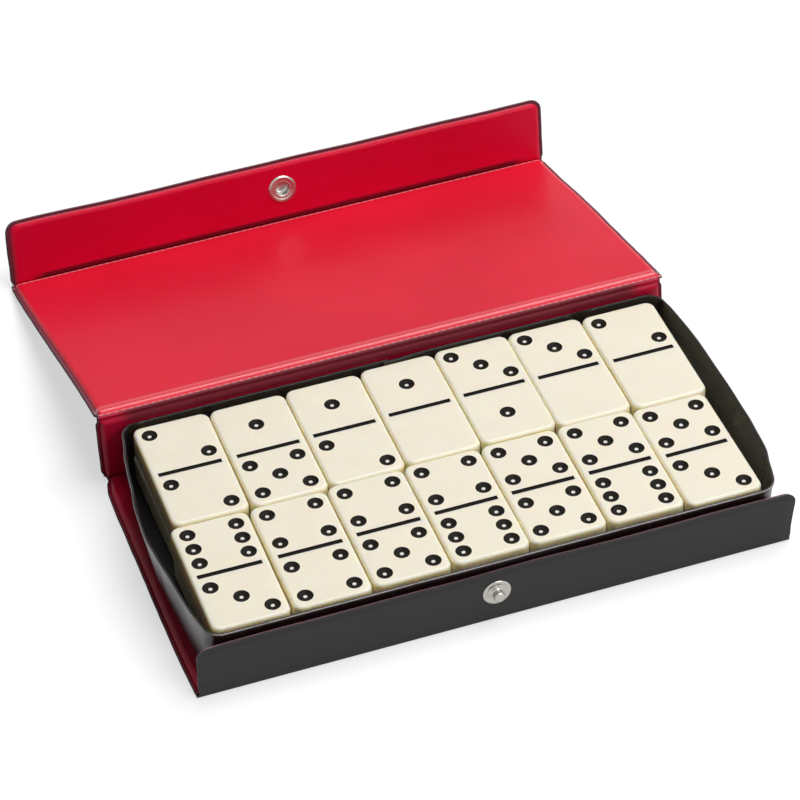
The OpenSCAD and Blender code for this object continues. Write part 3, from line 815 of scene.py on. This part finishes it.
def buildPipCutter():
    r, deep, spot = domino["pip"], domino["pipDepth"], domino["spot"]
    ball = (r * r + deep * deep) / (2 * deep)
    rings = [(spot * 0.1, -deep), (spot, -deep + 0.02)]
    for share in (0.4, 0.6, 0.78, 0.92, 1.0):
        x = r * share
        rings.append((x, ball - deep - math.sqrt(ball * ball - x * x)))
    rings += [(r + domino["pipLip"], 0.3), (0.05, 0.3)]
    obj = turnedPiece("pipCutter", rings, finishes["pip"], 24)
    dress(obj, *dominoFinishes)
    pickEdges(obj, lambda edge: all(v.co.xy.length < 0.1 * mm for v in edge.verts))
    bpy.ops.mesh.edge_face_add()  # closes the small rings at both poles
    bpy.ops.object.mode_set(mode="OBJECT")
    for face in obj.data.polygons:
        face.material_index = 2 if face.center.xy.length < spot * mm and face.center.z < 0 else 1
    return obj


def buildBarCutter():
    d = domino
    obj = addBlock("barCutter", d["barL"], d["barW"], 2 * d["barDepth"])
    bevelEdges(obj, lambda edge: max(v.co.z for v in edge.verts) < 0, d["barRound"], 3)
    for face in obj.data.polygons:
        face.material_index = 1
    return obj


blank, pipCutter, barCutter = buildBlank(), buildPipCutter(), buildBarCutter()


def dominoPiece(halves, place):
    d, node = domino, "{}_{}".format(min(halves), max(halves))
    obj = copyOf(blank, "domino" + node.replace("_", ""))
    tools = [copyOf(barCutter, "tool")]
    tools[0].location.z = d["thick"] / 2 * mm
    for side, count in zip((1, -1), halves):
        for px, py in pipPlaces[count]:
            tool = copyOf(pipCutter, "tool")
            tool.location = Vector((px * d["pipX"], side * d["halfY"] + py * d["pipY"],
                                    d["thick"] / 2)) * mm
            tools.append(tool)
    pickOnly(tools[0])
    for tool in tools:
        tool.select_set(True)
    bpy.ops.object.join()
    settle(tools[0])
    modify(obj, "BOOLEAN", operation="DIFFERENCE", object=tools[0], solver="EXACT")
    bpy.data.objects.remove(tools[0])
    smooth(obj, 30)
    modify(obj, "WEIGHTED_NORMAL", keep_sharp=True)
    obj.matrix_world = place
    settle(obj)
    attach(obj, "tile_" + node)
    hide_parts("domino_" + node)


def layRow(halvesInRow, side, layer, offsets):
    d = domino
    for column, (halves, (dx, dy, turn)) in enumerate(zip(halvesInRow, offsets)):
        spot = Vector((d["shift"] + (column - 3) * d["pitchX"] + dx, side * d["pitchY"] / 2 + dy,
                       band["floorZ"] + (layer + 0.5) * d["thick"]))
        dominoPiece(halves, Matrix.Translation(spot * mm)
                    @ Matrix.Rotation(math.radians(turn), 4, "Z"))


sides = (("front", -1), ("back", 1))
for row, side in sides:
    layRow(upper[row], side, 1, lying[row])
for row, side in sides:
    layRow(lower[row], side, 0, [(side * domino["rowShift"], slip * domino["slip"], 0)
                                 for slip in slips])
for tool in (blank, pipCutter, barCutter):
    bpy.data.objects.remove(tool)
print("case: dominoes laid in")


def seenDirectly(tree):  # 1 for rays that look at the surface, 0 for those that light others
    rays = tree.nodes.new("ShaderNodeLightPath").outputs
    seen = mathNode(tree, "MAXIMUM", rays["Is Camera Ray"], rays["Is Glossy Ray"])
    return mathNode(tree, "MAXIMUM", seen, rays["Is Transmission Ray"])


# the floor is a grey sheet that keeps the shadow and glows enough to look white
stage = dict(size=8, drop=0.0002, grey=0.45, glow=0.60, skyLight=0.06)
floorBoard = addPrimitive(bpy.ops.mesh.primitive_plane_add, "floor", size=stage["size"])
floorBoard.location.z = -stage["drop"]
settle(floorBoard)
paper = Finish("paperFloor", Roughness=0.9, Base_Color=(*[stage["grey"]] * 3, 1))
glow = addNode(paper.tree, "ShaderNodeEmission", Color=(1, 1, 1, 1),
               Strength=mathNode(paper.tree, "MULTIPLY", seenDirectly(paper.tree), stage["glow"]))
added = paper.tree.nodes.new("ShaderNodeAddShader")
plug(paper.tree, added.inputs[0], paper.shader.outputs[0])
plug(paper.tree, added.inputs[1], glow.outputs[0])
plug(paper.tree, paper.tree.nodes["Material Output"].inputs["Surface"], added.outputs[0])
dress(floorBoard, paper.material)

world = bpy.data.worlds.new("room")
bpy.context.scene.world = world
world.use_nodes = True
sky = world.node_tree.nodes["Background"]
sky.inputs["Color"].default_value = (1, 1, 1, 1)
plug(world.node_tree, sky.inputs["Strength"],
     mapRange(world.node_tree, seenDirectly(world.node_tree), 0, 1,
              (stage["skyLight"], 1.0), "LINEAR"))

# a broad lamp high at the back right and a weaker one in front
lamps = {
    "keyLamp": dict(at=(0.75, 0.30, 2.1), size=(1.7, 1.7), power=51),
    "frontLamp": dict(at=(0.9, -1.5, 1.2), size=(1.0, 0.9), power=13),
}
for name, lamp in lamps.items():
    data = bpy.data.lights.new(name, "AREA")
    data.shape = "RECTANGLE"
    data.size, data.size_y = lamp["size"]
    data.energy = lamp["power"]
    light = bpy.data.objects.new(name, data)
    light.location = lamp["at"]
    light.rotation_euler = (-Vector(lamp["at"])).to_track_quat("-Z", "Y").to_euler()
    bpy.context.scene.collection.objects.link(light)

# the photograph's own view: where its camera stood and which way its frame lay
shot = dict(at=(-0.29148, -0.86006, 0.84027), right=(0.942803, -0.332192, -0.027763),
            up=(0.238497, 0.614003, 0.752409), back=(-0.232897, -0.715995, 0.658111),
            lens=176.358, sensor=36.0, clip=(0.05, 20))
cameraData = bpy.data.cameras.new("shot")
cameraData.lens, cameraData.sensor_width = shot["lens"], shot["sensor"]
cameraData.clip_start, cameraData.clip_end = shot["clip"]
camera = bpy.data.objects.new("shot", cameraData)
camera.matrix_world = plane(shot["at"], shot["right"], shot["up"], shot["back"])
bpy.context.scene.collection.objects.link(camera)
bpy.context.scene.camera = camera
bpy.context.scene.view_settings.view_transform = "Standard"

print("case: ready")
